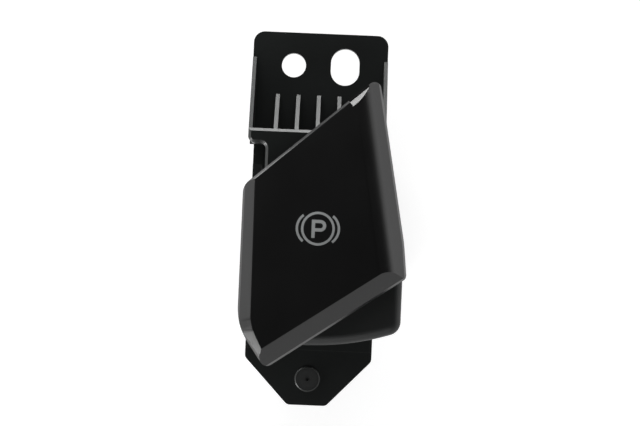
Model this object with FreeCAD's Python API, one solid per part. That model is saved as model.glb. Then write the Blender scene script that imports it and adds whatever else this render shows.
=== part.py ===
import FreeCAD, Part
import math
import os

from FreeCAD import Vector

# Electric parking brake switch: a pull paddle over a moulded bracket that screws to a console.
# Frame: X across, Y up the bracket towards its two holes, Z out of the paddle. The origin lies on the
# bracket's rear face, on its centre line and level with the two holes. All lengths are millimetres.

# Bracket plate
PLATE_THICK = 2.2
PLATE_HALF = 18.1
PLATE_TOP = 8.8
PLATE_CORNER = 3.0
WAIST_HALF = 17.0
SCREW_HOLE_X = 7.1
SCREW_HOLE_R = 3.25
SLOT_X = 6.7
SLOT_R = 3.85
SLOT_LENGTH = 9.9
TAB_Y = -78.8
TAB_END = -91.2
TAB_END_HALF = 5.2
TAB_CORNER = 1.8

# Boss and locating peg on the tab
PEG_TO_TAB_END = 7.1
PEG_R = 2.2
PEG_LENGTH = 6.0
PEG_CHAMFER = 0.6
BOSS_R = 3.4
BOSS_HEIGHT = 0.6
BOSS_EDGE = 0.3
BOSS_DIMPLE_R = 0.5

# Turret: the raised box that carries the pivot, its head wall and the gussets against it
RIM_Y = -17.8
HEAD_DEPTH = 3.8
TURRET_HALF = 13.4
TURRET_LENGTH = 37.4
DECK_TOP = 15.0
DECK_THICK = 1.6
WALL = 1.8
TURRET_CORNER = 1.6
EDGE_CHAMFER = 0.7
RIB_PITCH = 5.5
RIB_COUNT = 5
RIB_THICK = 1.0
RIB_START_Y = -8.0
RIB_TOE = 1.4
FLANGE_START_Y = 1.7
FLANGE_TOE = 2.0
STEP_HEIGHT = 1.4
STEP_HALF = 16.5
STEP_END = -76.3

# Rear box behind the plate, its board and its cover
REAR_TOP = -22.5
REAR_LENGTH = 39.5
REAR_DEPTH = 18.0
REAR_CORNER = 1.5
COVER_THICK = 2.0
GASKET_THICK = 0.5
GASKET_MARGIN = 0.25
LIP_THICK = 1.2
LIP_HEIGHT = 1.5
LIP_CLEARANCE = 0.2
BOARD_DEPTH = 8.0
BOARD_THICK = 1.6
BOARD_CLEARANCE = 0.2
SUPPORT_HALF = 1.0
SUPPORT_SPAN = 12.0
POST_HALF = 1.1
SCREW_BOSS_R = 2.8
SCREW_BOSS_SINK = 0.4
SCREW_R = 1.1
SCREW_LENGTH = 10.0
SCREW_HEAD_R = 2.2
SCREW_HEAD_HEIGHT = 1.4
SCREW_SOCKET_R = 0.9
SCREW_SOCKET_DEPTH = 0.8
SCREW_SIDES = 12
HEX_SIDES = 6
BOSS_SIDES = 24
SCREW_HOLE_CLEARANCE = 0.2
HOOK_X = 9.0
HOOK_HALF = 2.5
HOOK_HEIGHT = 5.0
HOOK_NOSE = 0.8
HOOK_NOSE_HEIGHT = 1.6
HOOK_CLEARANCE = 0.2

# Plug socket sunk into the cover, with two rows of pins
SOCKET_TO_BOSS = 1.0
SOCKET_HEIGHT = 10.0
SOCKET_Y = -52.5
SOCKET_WALL = 1.4
SOCKET_FLOOR = 1.6
KEY_WIDTH = 1.0
KEY_DEPTH = 0.8
KEY_X = 4.0
PIN_SIZE = 0.8
PIN_TO_WALL = 1.95
PIN_COLUMNS = 4
PIN_ROW_GAP = 3.8
PIN_REACH = 4.2
PIN_TAIL = 1.1

# Pivot of the paddle
PIVOT_Y = -34.0
PIVOT_Z = 9.0
PULL_ANGLE = 10.0
SHAFT_R = 2.0
SHAFT_FLAT = 0.5
SHAFT_HEAD_R = 3.2
SHAFT_HEAD = 0.8
CLIP_THICK = 0.6
CLIP_R = 3.2
CLIP_GROOVE = 0.5
CLIP_MOUTH_HALF = 1.2
SHAFT_TAIL = 0.6
BUSH_R = 3.2
BUSH_CLEARANCE = 0.05
CHEEK_GAP = 0.6
CHEEK_THICK = 2.4
CHEEK_R = 4.0
CHEEK_ROOT = 13.0
WASHER_CLEARANCE = 0.05
WASHER_R = 3.9

# Paddle cap: corners as (x, y, corner radius), outer edge of the bevels first, then the flat face
# and the slope in degrees and roll radius of the bevel along each edge of that face
CAP_OUTLINE = [
    (15.6, -3.5, 1.8),
    (23.6, -46.5, 40.0),
    (24.5, -55.3, 1.6),
    (-10.7, -79.6, 1.8),
    (-18.4, -68.9, 16.0),
    (-18.4, -33.2, 4.0),
]
CAP_FACE = [
    (11.8, -7.5),
    (19.6, -52.9),
    (-11.8, -74.3),
    (-14.9, -68.3),
    (-15.3, -31.4),
]
CAP_BEVELS = [(42.0, 8.0), (40.0, 0.5), (40.0, 0.5), (40.0, 0.5), (40.0, 0.2)]
SYMBOL_X = 1.2
SYMBOL_TO_PIVOT = 9.4
FACE_HEIGHT = 8.0
FACE_SLOPE_Y = 0.07
FACE_SLOPE_X = 0.04
CAP_WALL = 2.0
CAP_EDGE = 0.3
TIP_FACET_LENGTH = 5.0
TIP_FACET_WIDTH = 1.3
CAP_REACH = 16.0

# Paddle carrier below the cap
CARRIER_GAP = 3.6
CARRIER_THICK = 2.4
CARRIER_INSET = 0.5
GRIP_WALL = 2.0
GRIP_RIGHT = 23.7
GRIP_TOP_Y = -50.0
GRIP_HEIGHT = 6.0
GRIP_ROUND = 2.6
GRIP_CORNER = 3.6
GRIP_ARC_R = 71.0
GRIP_ARC_LOW = -73.9
GRIP_ARC_X = -1.0
GRIP_BEND = 1.4
GRIP_BEND_SHIFT = 0.4
GRIP_BEND_RISE = 5.6
CAP_SCREW_PLACES = [(8.0, -31.0), (-8.0, -66.0)]
CAP_SCREW_R = 1.0
CAP_SCREW_HEAD_R = 2.0
CAP_SCREW_HEAD = 1.2
CAP_SCREW_POINT = 0.4
CAP_BOSS_R = 2.3
GUIDE_SEAT_HALF = 3.6
GUIDE_TOP_HALF = 5.6
GUIDE_CLEARANCE = 0.15

# Drive arm, contact slider and the frame that guides it
HUB_R = 3.7
HUB_HALF = 3.0
ARM_HALF = 2.0
ARM_TIP_R = 1.5
ARM_NECK_HALF = 0.85
ARM_NECK = 3.2
ARM_ROOT_HALF = 2.8
ARM_SEAT_HALF = 1.2
TIP_ABOVE_BOARD = 5.0
FORK_CLEARANCE = 0.05
FORK_WALL = 1.8
FORK_HALF = 4.0
FORK_RISE = 4.6
SLIDER_HALF = 8.0
SLIDER_LENGTH = 8.0
SLIDER_THICK = 2.2
SLIDER_LIFT = 0.6
WIPER_WIDTH = 1.6
WIPER_THICK = 0.3
WIPER_GAP = 0.05
WIPER_END = 0.5
WIPER_BEND = 1.6
WIPER_TOUCH = 0.6
WIPER_COUNT = 4
WIPER_TO_EDGE = 1.8
RUNNING_GAP = 0.2
FRAME_WALL = 1.5
FRAME_LIP = 1.4
FRAME_LIP_THICK = 0.8
END_CLEARANCE = 0.4

# Return spring of square wire round the shaft, and the ledge for its fixed leg
SPRING_WIRE = 0.6
SPRING_R = 3.1
SPRING_TURNS = 3.25
SPRING_PITCH = 1.4
SPRING_HUB_GAP = 0.8
SPRING_LEG = 8.6
SPRING_DROP = 6.0
SPRING_BEND = 1.0
LEDGE_WIDTH = 2.7
LEDGE_THICK = 2.0
LEDGE_REACH = 1.6

# Light for the symbol
LED_BELOW_SYMBOL = 2.2
LED_LENGTH = 3.2
LED_WIDTH = 2.8
LED_HEIGHT = 1.9
LED_SPACING = 4.0
LED_CUP_R = 1.1
LED_CUP = 0.4
LIGHT_GAP = 0.2
WINDOW_HALF_X = 3.6
WINDOW_HALF_Y = 2.4
LIGHT_COLLAR = 0.8
LIGHT_COLLAR_THICK = 1.0
LIGHT_CLEARANCE = 0.1

# Rubber bumper strips in the deck, two under each end of the paddle's carrier
REST_BUMPER_X = 9.0
REST_BUMPER_Y = -53.0
PULL_BUMPER_X = 6.0
BUMPER_LENGTH = 5.0
BUMPER_HALF = 1.8
BUMPER_STEM_HALF = 1.0
BUMPER_BARB_HALF = 1.4
BUMPER_BARB = 0.7
BUMPER_EDGE = 0.4
BUMPER_TO_WALL = 0.3
BUMPER_CLEARANCE = 0.1

# Small parts on the board
CHIP_SIZE = 4.6
CHIP_HEIGHT = 1.2
CHIP_TO_PINS = 1.4
CHIP_Y = -51.8
RESISTOR_LENGTH = 2.0
RESISTOR_WIDTH = 1.25
RESISTOR_HEIGHT = 0.6
RESISTOR_TO_EDGE = 3.5
RESISTOR_TO_FRAME = 2.1
RESISTOR_PITCH = 2.4
RESISTOR_COUNT = 4

# The smallest length that counts when an edge's place is compared, how far a cutting tool runs
# past what it cuts, how far a piece is let into what it is fused with, and a length past all of it
TINY = 0.01
PAST = 1.0
EMBED = 0.5
FAR = 150.0

# Places worked out from the values above
shoulder_y = RIM_Y - HEAD_DEPTH
turret_end = shoulder_y - TURRET_LENGTH
deck_under = DECK_TOP - DECK_THICK
rear_end = REAR_TOP - REAR_LENGTH
peg_y = TAB_END + PEG_TO_TAB_END
rear_mid = REAR_TOP - REAR_LENGTH / 2
cover_bottom = -REAR_DEPTH - COVER_THICK
board_top = -BOARD_DEPTH
board_bottom = board_top - BOARD_THICK
pull_bumper_y = REAR_TOP - WALL - BUMPER_BARB_HALF - BUMPER_TO_WALL
cavity_half = TURRET_HALF - WALL
rear_cavity_half = WAIST_HALF - WALL
cheek_in = TURRET_HALF + CHEEK_GAP
cheek_out = cheek_in + CHEEK_THICK
carrier_under = DECK_TOP + CARRIER_GAP
carrier_top = carrier_under + CARRIER_THICK
arm_tip_z = board_top + TIP_ABOVE_BOARD
arm_length = PIVOT_Z - arm_tip_z
slide_travel = arm_length * math.radians(PULL_ANGLE)
slider_bottom = board_top + SLIDER_LIFT
slider_top = slider_bottom + SLIDER_THICK
boss_inset = WALL + SCREW_BOSS_R - SCREW_BOSS_SINK
boss_x = WAIST_HALF - boss_inset
screw_places = [(sx * boss_x, rear_end + boss_inset) for sx in (-1, 1)]
hook_places = (-HOOK_X, HOOK_X)
socket_half = boss_x - SCREW_BOSS_R - SOCKET_TO_BOSS - SOCKET_WALL
pin_row_half = socket_half - PIN_TO_WALL - PIN_SIZE / 2
pin_pitch = 2 * pin_row_half / (PIN_COLUMNS - 1)
board_half = rear_cavity_half - BOARD_CLEARANCE
slider_half_length = SLIDER_LENGTH / 2
frame_high = PIVOT_Y + slider_half_length + END_CLEARANCE
frame_low = PIVOT_Y - slider_half_length - slide_travel - END_CLEARANCE
symbol_y = PIVOT_Y - SYMBOL_TO_PIVOT
led_x = SYMBOL_X
led_y = symbol_y - LED_BELOW_SYMBOL
rest_places = [(sx * REST_BUMPER_X, REST_BUMPER_Y) for sx in (-1, 1)]
pull_places = [(sx * PULL_BUMPER_X, pull_bumper_y) for sx in (-1, 1)]
cap_middle = (SYMBOL_X, symbol_y)
face_normal = Vector(FACE_SLOPE_X, FACE_SLOPE_Y, 1).normalize()
support_places = [(sx, rear_mid + sy * SUPPORT_SPAN / 2) for sx in (-1, 1) for sy in (-1, 1)]


def box(x0, x1, y0, y1, z0, z1):
    """A box between two corners, given in any order."""
    low = Vector(min(x0, x1), min(y0, y1), min(z0, z1))
    return Part.makeBox(abs(x1 - x0), abs(y1 - y0), abs(z1 - z0), low)


def rod_z(x, y, r, z0, z1):
    """A cylinder along Z."""
    return Part.makeCylinder(r, abs(z1 - z0), Vector(x, y, min(z0, z1)))


def rod_x(y, z, r, x0, x1):
    """A cylinder along X."""
    return Part.makeCylinder(r, abs(x1 - x0), Vector(min(x0, x1), y, z), Vector(1, 0, 0))


def corner_places(before, corner, after, z):
    """The point of a sharp corner of an outline, or the start, middle and end of its arc."""
    x, y, radius = corner
    here = Vector(x, y, z)
    if radius <= 0:
        return [here]
    back = (Vector(before[0], before[1], z) - here).normalize()
    ahead = (Vector(after[0], after[1], z) - here).normalize()
    half = back.getAngle(ahead) / 2
    reach = radius / math.tan(half)
    middle = (back + ahead).normalize() * (radius / math.sin(half) - radius)
    return [here + back * reach, here + middle, here + ahead * reach]


def prong(x, y, r, z0, z1, sides):
    """A many-sided bar along Z."""
    turns = [2 * math.pi * i / sides for i in range(sides + 1)]
    ring = [Vector(x + r * math.cos(a), y + r * math.sin(a), min(z0, z1)) for a in turns]
    return Part.Face(Part.makePolygon(ring)).extrude(Vector(0, 0, abs(z1 - z0)))


def outline(corners, z):
    """A closed level wire through corners given as (x, y, radius)."""
    bends = []
    for i, corner in enumerate(corners):
        after = corners[(i + 1) % len(corners)]
        bends.append(corner_places(corners[i - 1], corner, after, z))
    edges = []
    for i, bend in enumerate(bends):
        if len(bend) == 3:
            edges.append(Part.Arc(*bend).toShape())
        edges.append(Part.LineSegment(bend[-1], bends[(i + 1) % len(bends)][0]).toShape())
    return Part.Wire(edges)


def slab(corners, z0, z1):
    """A plate of rounded outline between two heights."""
    return Part.Face(outline(corners, z0)).extrude(Vector(0, 0, z1 - z0))


def inset(corners, distance):
    """The outline moved inwards by a distance, with its corner radii reduced to suit."""
    lines = []
    for i, corner in enumerate(corners):
        after = corners[(i + 1) % len(corners)]
        along = Vector(after[0] - corner[0], after[1] - corner[1], 0).normalize()
        inward = Vector(along.y, -along.x, 0) * distance
        lines.append((Vector(corner[0], corner[1], 0) + inward, along))
    moved = []
    for i, corner in enumerate(corners):
        (p, d), (q, e) = lines[i - 1], lines[i]
        share = ((q - p).x * e.y - (q - p).y * e.x) / (d.x * e.y - d.y * e.x)
        place = p + d * share
        moved.append((place.x, place.y, max(corner[2] - distance, 0)))
    return moved


def profile_x(points, x0, x1):
    """A flat shape given as (y, z) points, extruded from x0 to x1."""
    ring = [Vector(x0, y, z) for y, z in points]
    face = Part.Face(Part.makePolygon(ring + ring[:1]))
    return face.extrude(Vector(x1 - x0, 0, 0))


def profile_y(points, y0, y1):
    """A flat shape given as (x, z) points, extruded from y0 to y1."""
    ring = [Vector(x, y0, z) for x, z in points]
    face = Part.Face(Part.makePolygon(ring + ring[:1]))
    return face.extrude(Vector(0, y1 - y0, 0))


def tapered(x, y, base, top, z0, z1):
    """A block whose half sizes along X and Y change evenly from its base to its top."""
    wide = max(base + top)
    along_x = [(x - base[0], z0), (x + base[0], z0), (x + top[0], z1), (x - top[0], z1)]
    along_y = [(y - base[1], z0), (y + base[1], z0), (y + top[1], z1), (y - top[1], z1)]
    block = profile_y(along_x, y - wide - PAST, y + wide + PAST)
    return block.common(profile_x(along_y, x - wide - PAST, x + wide + PAST))


def beyond(place, normal):
    """A block that fills the space past a plane."""
    block = Part.makeBox(2 * FAR, 2 * FAR, FAR, Vector(-FAR, -FAR, 0))
    block.Placement = FreeCAD.Placement(place, FreeCAD.Rotation(Vector(0, 0, 1), normal))
    return block


def fused(shapes):
    """One solid from shapes that touch or overlap."""
    whole = shapes[0].fuse(shapes[1:]) if len(shapes) > 1 else shapes[0]
    return whole.removeSplitter()


def both_sides(make):
    """A piece made for the right side and its mirror on the left."""
    right = make()
    return [right, right.mirror(Vector(0, 0, 0), Vector(1, 0, 0))]


def face_z(x, y):
    """Height of the paddle's sloping face."""
    rise = -FACE_SLOPE_Y * (y - symbol_y) - FACE_SLOPE_X * (x - SYMBOL_X)
    return carrier_top + FACE_HEIGHT + rise


# Bracket housing


def plate():
    """The bracket's base plate, with its waist, tab, screw hole and slotted hole."""
    wide = [
        (PLATE_HALF, PLATE_TOP, PLATE_CORNER),
        (PLATE_HALF, shoulder_y, 0),
        (-PLATE_HALF, shoulder_y, 0),
        (-PLATE_HALF, PLATE_TOP, PLATE_CORNER),
    ]
    narrow = [
        (WAIST_HALF, RIM_Y, 0),
        (WAIST_HALF, TAB_Y, TAB_CORNER),
        (TAB_END_HALF, TAB_END, TAB_CORNER),
        (-TAB_END_HALF, TAB_END, TAB_CORNER),
        (-WAIST_HALF, TAB_Y, TAB_CORNER),
        (-WAIST_HALF, RIM_Y, 0),
    ]
    whole = fused([slab(wide, 0, PLATE_THICK), slab(narrow, 0, PLATE_THICK)])
    straight = SLOT_LENGTH / 2 - SLOT_R
    low, high = -PAST, PLATE_THICK + PAST
    slot = [rod_z(SLOT_X, s * straight, SLOT_R, low, high) for s in (-1, 1)]
    slot.append(box(SLOT_X - SLOT_R, SLOT_X + SLOT_R, -straight, straight, low, high))
    hole = rod_z(-SCREW_HOLE_X, 0, SCREW_HOLE_R, low, high)
    return whole.cut(fused(slot)).cut(hole)


def turret():
    """The raised box round the pivot, with rounded edges and a wider head."""
    body = box(-TURRET_HALF, TURRET_HALF, turret_end, RIM_Y - HEAD_DEPTH / 2, 0, DECK_TOP)
    head = box(-PLATE_HALF, PLATE_HALF, shoulder_y, RIM_Y, 0, DECK_TOP)
    whole = fused([body, head])
    upright = [e for e in whole.Edges if e.BoundBox.ZLength > DECK_TOP / 2]
    corners = [e for e in upright if e.CenterOfMass.y < RIM_Y - EDGE_CHAMFER]
    round_r = min(TURRET_CORNER, (PLATE_HALF - TURRET_HALF) / 2 - TINY)
    whole = whole.makeFillet(round_r, corners)
    top = [e for e in whole.Edges if e.BoundBox.ZMin > DECK_TOP - TINY]
    return whole.makeChamfer(EDGE_CHAMFER, top)


def gussets():
    """Five ribs and two side flanges that brace the head wall against the plate."""
    foot = PLATE_THICK - EMBED
    heel = RIM_Y - HEAD_DEPTH / 2
    crest = DECK_TOP - EDGE_CHAMFER
    rib = [(RIB_START_Y, foot), (RIB_START_Y, PLATE_THICK + RIB_TOE), (RIM_Y, crest)]
    rib += [(heel, crest), (heel, foot)]
    pieces = []
    for i in range(RIB_COUNT):
        x = (i - (RIB_COUNT - 1) / 2) * RIB_PITCH
        pieces.append(profile_x(rib, x - RIB_THICK / 2, x + RIB_THICK / 2))
    flange = [(FLANGE_START_Y, foot), (FLANGE_START_Y, PLATE_THICK + FLANGE_TOE)]
    flange += [(RIM_Y, crest), (heel, crest), (heel, foot)]
    for side in (-1, 1):
        pieces.append(profile_x(flange, side * PLATE_HALF, side * (PLATE_HALF - RIB_THICK)))
    return pieces


def rear_box():
    """The open box behind the plate."""
    ring = [
        (WAIST_HALF, REAR_TOP, REAR_CORNER),
        (WAIST_HALF, rear_end, REAR_CORNER),
        (-WAIST_HALF, rear_end, REAR_CORNER),
        (-WAIST_HALF, REAR_TOP, REAR_CORNER),
    ]
    return slab(ring, -REAR_DEPTH + GASKET_THICK, PLATE_THICK / 2)


def cavities():
    """The space inside the turret and the rear box."""
    upper = box(
        -cavity_half, cavity_half, turret_end + WALL, REAR_TOP - WALL, -PAST, deck_under
    )
    lower = box(
        -rear_cavity_half,
        rear_cavity_half,
        rear_end + WALL,
        REAR_TOP - WALL,
        -REAR_DEPTH - PAST,
        0,
    )
    return fused([upper, lower])


def board_supports():
    """Ribs that hold the board's upper side, and the corner bosses for the cover screws."""
    pieces = []
    for side, y in support_places:
        inner = side * (rear_cavity_half - SUPPORT_HALF * 2)
        outer = side * (rear_cavity_half + WALL / 2)
        pieces.append(box(inner, outer, y - SUPPORT_HALF, y + SUPPORT_HALF, board_top, EMBED))
    for x, y in screw_places:
        boss = prong(x, y, SCREW_BOSS_R, -REAR_DEPTH, EMBED, BOSS_SIDES)
        pilot = prong(x, y, SCREW_R, -REAR_DEPTH - PAST, cover_bottom + SCREW_LENGTH, SCREW_SIDES)
        pieces.append(boss.cut(pilot))
    return pieces


def spring_ledge():
    """The ledge that the return spring's fixed leg presses on."""
    top = PIVOT_Z + SPRING_R - SPRING_WIRE / 2
    near = PIVOT_Y + SPRING_LEG - LEDGE_REACH
    x1 = spring_start_x() + LEDGE_WIDTH / 2
    return box(-cavity_half - WALL / 2, x1, near, REAR_TOP - WALL / 2, top - LEDGE_THICK, top)


def tab_boss():
    """A round boss on the tab's front with a dimple, and the locating peg behind it."""
    boss = rod_z(0, peg_y, BOSS_R, PLATE_THICK / 2, PLATE_THICK + BOSS_HEIGHT)
    rim = [e for e in boss.Edges if e.BoundBox.ZMin > PLATE_THICK + BOSS_HEIGHT - TINY]
    boss = boss.makeChamfer(BOSS_EDGE, rim)
    low = PLATE_THICK + BOSS_HEIGHT / 2
    dimple = prong(0, peg_y, BOSS_DIMPLE_R, low, low + BOSS_HEIGHT, SCREW_SIDES)
    peg = rod_z(0, peg_y, PEG_R, -PEG_LENGTH, PLATE_THICK / 2)
    end = [e for e in peg.Edges if e.BoundBox.ZMax < -PEG_LENGTH + TINY]
    peg = peg.makeChamfer(PEG_CHAMFER, end)
    return [boss.cut(dimple), peg]


def bumper_slot(x, y):
    """The slot in the deck that a bumper strip's stem fills."""
    half = BUMPER_LENGTH / 2
    low, high = deck_under - PAST, DECK_TOP + PAST
    return box(x - half, x + half, y - BUMPER_STEM_HALF, y + BUMPER_STEM_HALF, low, high)


def openings():
    """Window for the light guide, slots for bumpers and hooks, and bores for the bushes."""
    holes = [
        box(
            led_x - WINDOW_HALF_X,
            led_x + WINDOW_HALF_X,
            led_y - WINDOW_HALF_Y,
            led_y + WINDOW_HALF_Y,
            deck_under - PAST,
            DECK_TOP + PAST,
        )
    ]
    holes += [bumper_slot(x, y) for x, y in rest_places + pull_places]
    nose_top = -REAR_DEPTH + HOOK_HEIGHT + HOOK_CLEARANCE
    nose_low = nose_top - HOOK_NOSE_HEIGHT - 2 * HOOK_CLEARANCE
    half = HOOK_HALF + HOOK_CLEARANCE
    for x in hook_places:
        inner, outer = REAR_TOP - WALL - TINY, REAR_TOP + PAST
        holes.append(box(x - half, x + half, inner, outer, nose_low, nose_top))
    for side in (-1, 1):
        inner, outer = side * (cavity_half - PAST), side * (TURRET_HALF + PAST)
        holes.append(rod_x(PIVOT_Y, PIVOT_Z, BUSH_R, inner, outer))
    return holes


def housing():
    """The one-piece moulded bracket."""
    step = box(
        -STEP_HALF, STEP_HALF, STEP_END, turret_end + EMBED, EMBED, PLATE_THICK + STEP_HEIGHT
    )
    whole = fused([plate(), turret(), rear_box(), step] + gussets())
    whole = whole.cut(cavities())
    whole = fused([whole, spring_ledge()] + board_supports() + tab_boss())
    for hole in openings():
        whole = whole.cut(hole)
    return whole


# Rear cover and electrical parts


def socket_box(grow, z0, z1):
    """The plug socket's box, grown by a wall."""
    half_x, half_y = socket_half + grow, SOCKET_HEIGHT / 2 + grow
    return box(-half_x, half_x, SOCKET_Y - half_y, SOCKET_Y + half_y, z0, z1)


def pins():
    """Square pins in two rows, from the socket through the board."""
    half = PIN_SIZE / 2
    low = board_bottom - SOCKET_FLOOR - PIN_REACH
    made = []
    for row in (-1, 1):
        y = SOCKET_Y + row * PIN_ROW_GAP / 2
        for i in range(PIN_COLUMNS):
            x = i * pin_pitch - pin_row_half
            made.append(box(x - half, x + half, y - half, y + half, low, board_top + PIN_TAIL))
    return Part.makeCompound(made)


def cover_hook(x):
    """A snap hook of the cover, whose nose points into a slot in the rear box's upper wall."""
    outer = REAR_TOP - WALL - LIP_CLEARANCE
    top = -REAR_DEPTH + HOOK_HEIGHT
    nose_low = top - HOOK_NOSE_HEIGHT
    points = [
        (outer - LIP_THICK, -REAR_DEPTH),
        (outer, -REAR_DEPTH),
        (outer, nose_low),
        (outer + HOOK_NOSE, nose_low),
        (outer, top),
        (outer - LIP_THICK, top),
    ]
    return profile_x(points, x - HOOK_HALF, x + HOOK_HALF)


def rear_cover():
    """The lid of the rear box, with the socket, lip and hooks, and posts under the board."""
    ring = [
        (WAIST_HALF, REAR_TOP, REAR_CORNER),
        (WAIST_HALF, rear_end, REAR_CORNER),
        (-WAIST_HALF, rear_end, REAR_CORNER),
        (-WAIST_HALF, REAR_TOP, REAR_CORNER),
    ]
    lid = slab(ring, cover_bottom, -REAR_DEPTH)
    reach = rear_cavity_half - LIP_CLEARANCE
    top, low = REAR_TOP - WALL - LIP_CLEARANCE, rear_end + WALL + LIP_CLEARANCE
    lip = box(-reach, reach, low, top, -REAR_DEPTH - EMBED, -REAR_DEPTH + LIP_HEIGHT)
    inner = box(
        -reach + LIP_THICK,
        reach - LIP_THICK,
        low + LIP_THICK,
        top - LIP_THICK,
        -REAR_DEPTH,
        0,
    )
    lip = lip.cut(inner)
    for x, y in screw_places:
        lip = lip.cut(rod_z(x, y, SCREW_BOSS_R + LIP_CLEARANCE, -REAR_DEPTH, 0))
    posts = []
    for side, y in support_places:
        x = side * (rear_cavity_half - SUPPORT_HALF - POST_HALF / 2)
        low = -REAR_DEPTH - COVER_THICK / 2
        posts.append(
            box(x - POST_HALF, x + POST_HALF, y - POST_HALF, y + POST_HALF, low, board_bottom)
        )
    hooks = [cover_hook(x) for x in hook_places]
    shroud = socket_box(SOCKET_WALL, -REAR_DEPTH - COVER_THICK / 2, board_bottom)
    whole = fused([lid, lip, shroud] + posts + hooks)
    whole = whole.cut(socket_box(0, cover_bottom - PAST, board_bottom - SOCKET_FLOOR))
    wall_y = SOCKET_Y - SOCKET_HEIGHT / 2
    key = box(
        KEY_X,
        KEY_X + KEY_WIDTH,
        wall_y - SOCKET_WALL / 2,
        wall_y + KEY_DEPTH,
        cover_bottom,
        board_bottom - SOCKET_FLOOR / 2,
    )
    whole = fused([whole, key]).cut(pins())
    head_top = cover_bottom + SCREW_HEAD_HEIGHT
    clear_r = SCREW_R + SCREW_HOLE_CLEARANCE
    for x, y in screw_places:
        whole = whole.cut(rod_z(x, y, SCREW_HEAD_R, cover_bottom - PAST, head_top))
        whole = whole.cut(prong(x, y, clear_r, cover_bottom, PAST - REAR_DEPTH, SCREW_SIDES))
    return whole


def cover_screw(x, y):
    """A pan-head screw, sunk level with the cover."""
    top = cover_bottom + SCREW_HEAD_HEIGHT
    head = prong(x, y, SCREW_HEAD_R, cover_bottom, top, BOSS_SIDES)
    low = cover_bottom + SCREW_HEAD_HEIGHT / 2
    shank = prong(x, y, SCREW_R, low, cover_bottom + SCREW_LENGTH - PAST, SCREW_SIDES)
    top = cover_bottom + SCREW_SOCKET_DEPTH
    socket = prong(x, y, SCREW_SOCKET_R, cover_bottom - PAST, top, HEX_SIDES)
    return fused([head, shank]).cut(socket)


def cover_gasket():
    """A flat seal between the rear box's wall and its cover."""
    outer, inner = WAIST_HALF - GASKET_MARGIN, rear_cavity_half + GASKET_MARGIN
    ring = box(
        -outer,
        outer,
        rear_end + GASKET_MARGIN,
        REAR_TOP - GASKET_MARGIN,
        -REAR_DEPTH,
        -REAR_DEPTH + GASKET_THICK,
    )
    hole = box(
        -inner,
        inner,
        rear_end + WALL - GASKET_MARGIN,
        REAR_TOP - WALL + GASKET_MARGIN,
        -REAR_DEPTH - PAST,
        PAST,
    )
    ring = ring.cut(hole)
    reach = SCREW_BOSS_R + GASKET_MARGIN
    for x, y in screw_places:
        ring = ring.cut(box(x - reach, x + reach, y - reach, y + reach, -REAR_DEPTH - PAST, 0))
    return ring


def circuit_board():
    """The board, notched round the screw bosses and drilled for the pins."""
    low, high = rear_end + WALL + BOARD_CLEARANCE, REAR_TOP - WALL - BOARD_CLEARANCE
    board = box(-board_half, board_half, low, high, board_bottom, board_top)
    notch = SCREW_BOSS_R + BOARD_CLEARANCE
    for x, y in screw_places:
        x_end = math.copysign(board_half + PAST, x)
        x_near = x - math.copysign(notch, x)
        corner = box(x_near, x_end, low - PAST, y + notch, board_bottom - PAST, board_top + PAST)
        board = board.cut(corner)
    return board.cut(pins())


def led(side):
    """One light-emitting diode on the board, left or right of the light guide's middle."""
    x = led_x + side * LED_SPACING / 2
    half_x, half_y = LED_LENGTH / 2, LED_WIDTH / 2
    top = board_top + LED_HEIGHT
    body = box(x - half_x, x + half_x, led_y - half_y, led_y + half_y, board_top, top)
    return body.cut(prong(x, led_y, LED_CUP_R, top - LED_CUP, top + PAST, SCREW_SIDES))


def controller_chip():
    """The small controller beside the plug pins."""
    half = CHIP_SIZE / 2
    x = -pin_row_half - PIN_SIZE / 2 - CHIP_TO_PINS - half
    high = board_top + CHIP_HEIGHT
    return box(x - half, x + half, CHIP_Y - half, CHIP_Y + half, board_top, high)


def board_resistors():
    """A row of chip resistors."""
    made = []
    x1 = board_half - RESISTOR_TO_EDGE
    x0 = x1 - RESISTOR_LENGTH
    for i in range(RESISTOR_COUNT):
        y = frame_low - FRAME_WALL - RESISTOR_TO_FRAME - i * RESISTOR_PITCH
        made.append(box(x0, x1, y, y - RESISTOR_WIDTH, board_top, board_top + RESISTOR_HEIGHT))
    return Part.makeCompound(made)


def light_guide():
    """A clear prism that carries light from the board to a window in the deck."""
    low = board_top + LED_HEIGHT + LIGHT_GAP
    neck = deck_under - LIGHT_COLLAR_THICK
    base = ((LED_SPACING + LED_LENGTH) / 2, LED_WIDTH / 2)
    top = (WINDOW_HALF_X - LIGHT_CLEARANCE, WINDOW_HALF_Y - LIGHT_CLEARANCE)
    rim = (WINDOW_HALF_X + LIGHT_COLLAR, WINDOW_HALF_Y + LIGHT_COLLAR)
    taper = tapered(led_x, led_y, base, top, low, neck)
    head = tapered(led_x, led_y, top, top, neck, DECK_TOP - LIGHT_CLEARANCE)
    collar = tapered(led_x, led_y, rim, rim, neck, deck_under)
    return fused([taper, head, collar])


# Pivot parts


def bush(side):
    """A plain bearing pressed into the turret wall."""
    sleeve = rod_x(PIVOT_Y, PIVOT_Z, BUSH_R, side * cavity_half, side * TURRET_HALF)
    bore_r = SHAFT_R + BUSH_CLEARANCE
    return sleeve.cut(rod_x(PIVOT_Y, PIVOT_Z, bore_r, 0, side * (TURRET_HALF + PAST)))


def shaft_end():
    """X of the shaft's plain end, past the clip."""
    return cheek_out + CLIP_THICK + SHAFT_TAIL


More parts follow.
